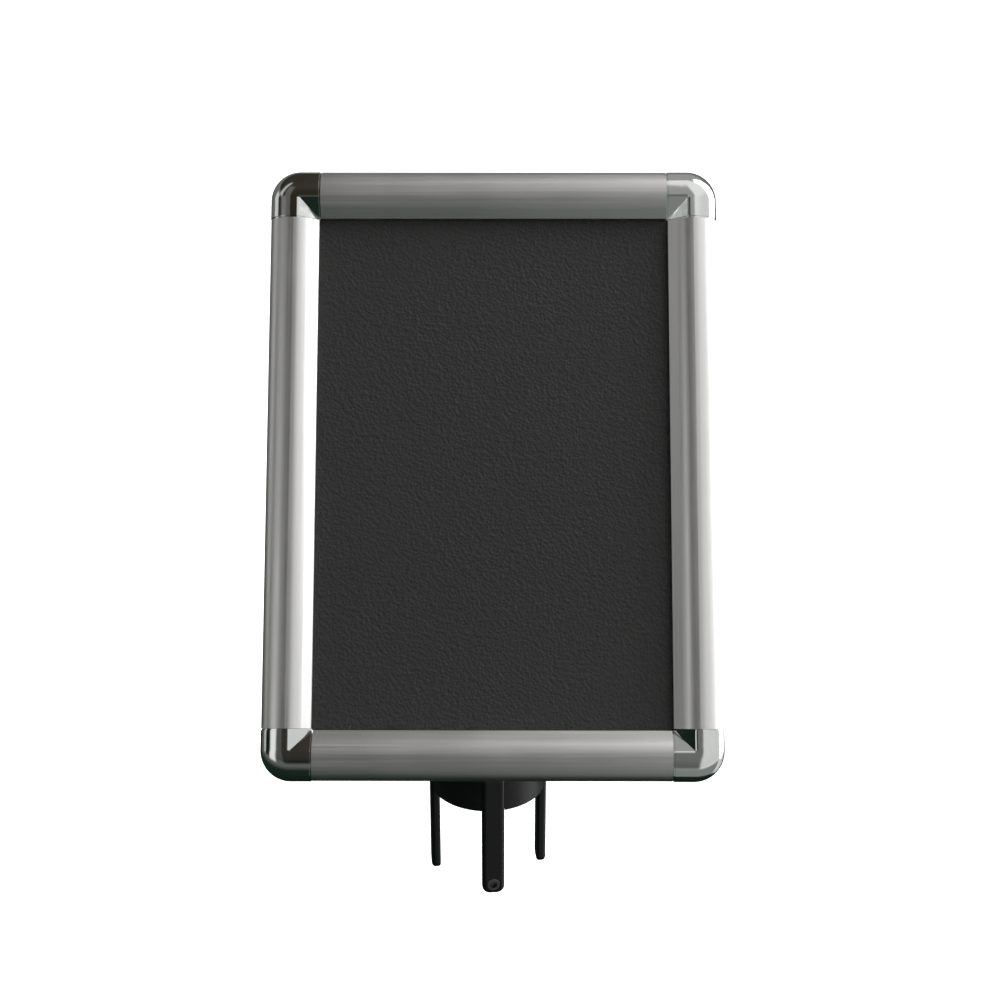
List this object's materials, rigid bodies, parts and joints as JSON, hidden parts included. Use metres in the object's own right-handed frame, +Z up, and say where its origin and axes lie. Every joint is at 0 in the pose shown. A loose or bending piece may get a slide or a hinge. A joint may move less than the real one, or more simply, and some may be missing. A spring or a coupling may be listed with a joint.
{
  "type": "post-top sign holder",
  "caption": "Tilting and swivelling snap frame for an A4 sheet, on a clawed cap that clamps over the head of a belt barrier post.",
  "frame": {"origin": "on the post's axis, at the underside of the seat pad where the top of the post rests", "axes": "+Z up the post, -Y the way the sign faces, +X to the reader's right"},
  "size_m": [0.245, 0.1731, 0.3752],
  "materials": {
    "anodised": "satin anodised, fine brushing along the rail",
    "base_aluminium": "mill finish extrusion",
    "chrome_cap": "polished plating",
    "zinc_block": "dull zinc",
    "spring_steel": "bright rolled",
    "board": "fine leather grain",
    "clear_cover": "clear, anti-glare",
    "black_paint": "satin black powder coat",
    "black_rubber": "matte",
    "nylon": "smooth",
    "dark_fastener": "black oxide",
    "steel_fastener": "bright zinc plated"
  },
  "bodies": {
    "post_clamp": {"post_cap": "black_paint", "seat_pad": "black_rubber", "claw_screws": "steel_fastener", "claw_front": "black_paint", "claw_right": "black_paint", "claw_left": "black_paint"},
    "yoke": {"yoke": "black_paint", "tilt_bolt": "steel_fastener", "tilt_nut": "steel_fastener", "tilt_washers": "nylon", "swivel_bolt": "steel_fastener", "lock_washer": "steel_fastener", "swivel_washer": "nylon"},
    "snap_left": {"snap_rail_left": "anodised"},
    "snap_top": {"snap_rail_top": "anodised"},
    "snap_right": {"snap_rail_right": "anodised"},
    "snap_bottom": {"snap_rail_bottom": "anodised"},
    "clamp_front": {"clamp_screw_front": "dark_fastener"},
    "clamp_right": {"clamp_screw_right": "dark_fastener"},
    "clamp_left": {"clamp_screw_left": "dark_fastener"},
    "panel": {"back_board": "board", "base_rail_bottom": "base_aluminium", "base_rail_left": "base_aluminium", "base_rail_right": "base_aluminium", "base_rail_top": "base_aluminium", "bracket_screws": "steel_fastener", "clear_cover": "clear_cover", "corner_block_bottom_left": "zinc_block", "corner_block_bottom_right": "zinc_block", "corner_block_top_left": "zinc_block", "corner_block_top_right": "zinc_block", "corner_cap_bottom_left": "chrome_cap", "corner_cap_bottom_right": "chrome_cap", "corner_cap_top_left": "chrome_cap", "corner_cap_top_right": "chrome_cap", "corner_screws": "steel_fastener", "foam_pad": "black_rubber", "leaf_springs_bottom": "spring_steel", "leaf_springs_left": "spring_steel", "leaf_springs_right": "spring_steel", "leaf_springs_top": "spring_steel", "nut_strip": "zinc_block", "tilt_bracket": "black_paint"}
  },
  "joints": [
    {"name": "swivel", "type": "hinge", "parent": "post_clamp", "child": "yoke", "pos_m": [0, 0, 0.0105], "axis": [0, 0, 1], "continuous": true},
    {"name": "tilt", "type": "hinge", "parent": "yoke", "child": "panel", "pos_m": [0, 0, 0.024], "axis": [-1, 0, 0], "range_deg": [-30, 60]},
    {"name": "snap_left_open", "type": "hinge", "parent": "panel", "child": "snap_left", "pos_m": [-0.1169, 0.02877, 0.16223], "axis": [0, -0.5, -0.866], "range_deg": [0, 100]},
    {"name": "snap_top_open", "type": "hinge", "parent": "panel", "child": "snap_top", "pos_m": [0.003, 0.11047, 0.30374], "axis": [-1, 0, 0], "range_deg": [0, 100]},
    {"name": "snap_right_open", "type": "hinge", "parent": "panel", "child": "snap_right", "pos_m": [0.1229, 0.02877, 0.16223], "axis": [0, 0.5, 0.866], "range_deg": [0, 100]},
    {"name": "snap_bottom_open", "type": "hinge", "parent": "panel", "child": "snap_bottom", "pos_m": [0.003, -0.05293, 0.02073], "axis": [1, 0, 0], "range_deg": [0, 100]},
    {"name": "clamp_front_travel", "type": "slide", "parent": "post_clamp", "child": "clamp_front", "axis": [-0.1045, 0.9945, 0], "range_m": [0, 0.003]},
    {"name": "clamp_right_travel", "type": "slide", "parent": "post_clamp", "child": "clamp_right", "axis": [-0.9945, -0.1045, 0], "range_m": [0, 0.003]},
    {"name": "clamp_left_travel", "type": "slide", "parent": "post_clamp", "child": "clamp_left", "axis": [0.9945, 0.1045, 0], "range_m": [0, 0.003]}
  ]
}
